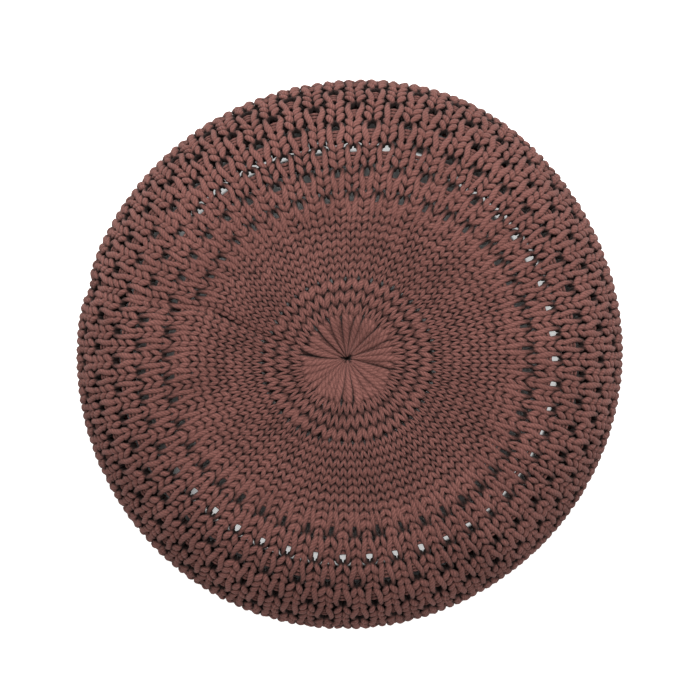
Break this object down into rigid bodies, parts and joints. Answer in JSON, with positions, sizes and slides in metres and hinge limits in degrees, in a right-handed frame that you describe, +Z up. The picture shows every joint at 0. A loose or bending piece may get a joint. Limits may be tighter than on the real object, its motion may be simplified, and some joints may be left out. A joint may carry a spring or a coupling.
{
  "type": "knitted kufi",
  "caption": "Round skullcap knitted in thick plied yarn, with a gathered crown, an openwork shoulder and wall of staggered eyelets, and a plain lower edge.",
  "frame": {"origin": "centre of the box around the cap, on the plane its lower edge rests on", "axes": "+Z up through the crown; the back seam runs down the side that faces -X, 15 degrees towards +Y"},
  "size_m": [0.1836, 0.1846, 0.0878],
  "materials": {
    "yarn": "matt reddish brown plied yarn, knitted",
    "thread": "matt reddish brown thread, drawn tight and knotted"
  },
  "bodies": {
    "root": {"knitted_cap": "yarn", "closing_knot": "thread"}
  },
  "joints": []
}
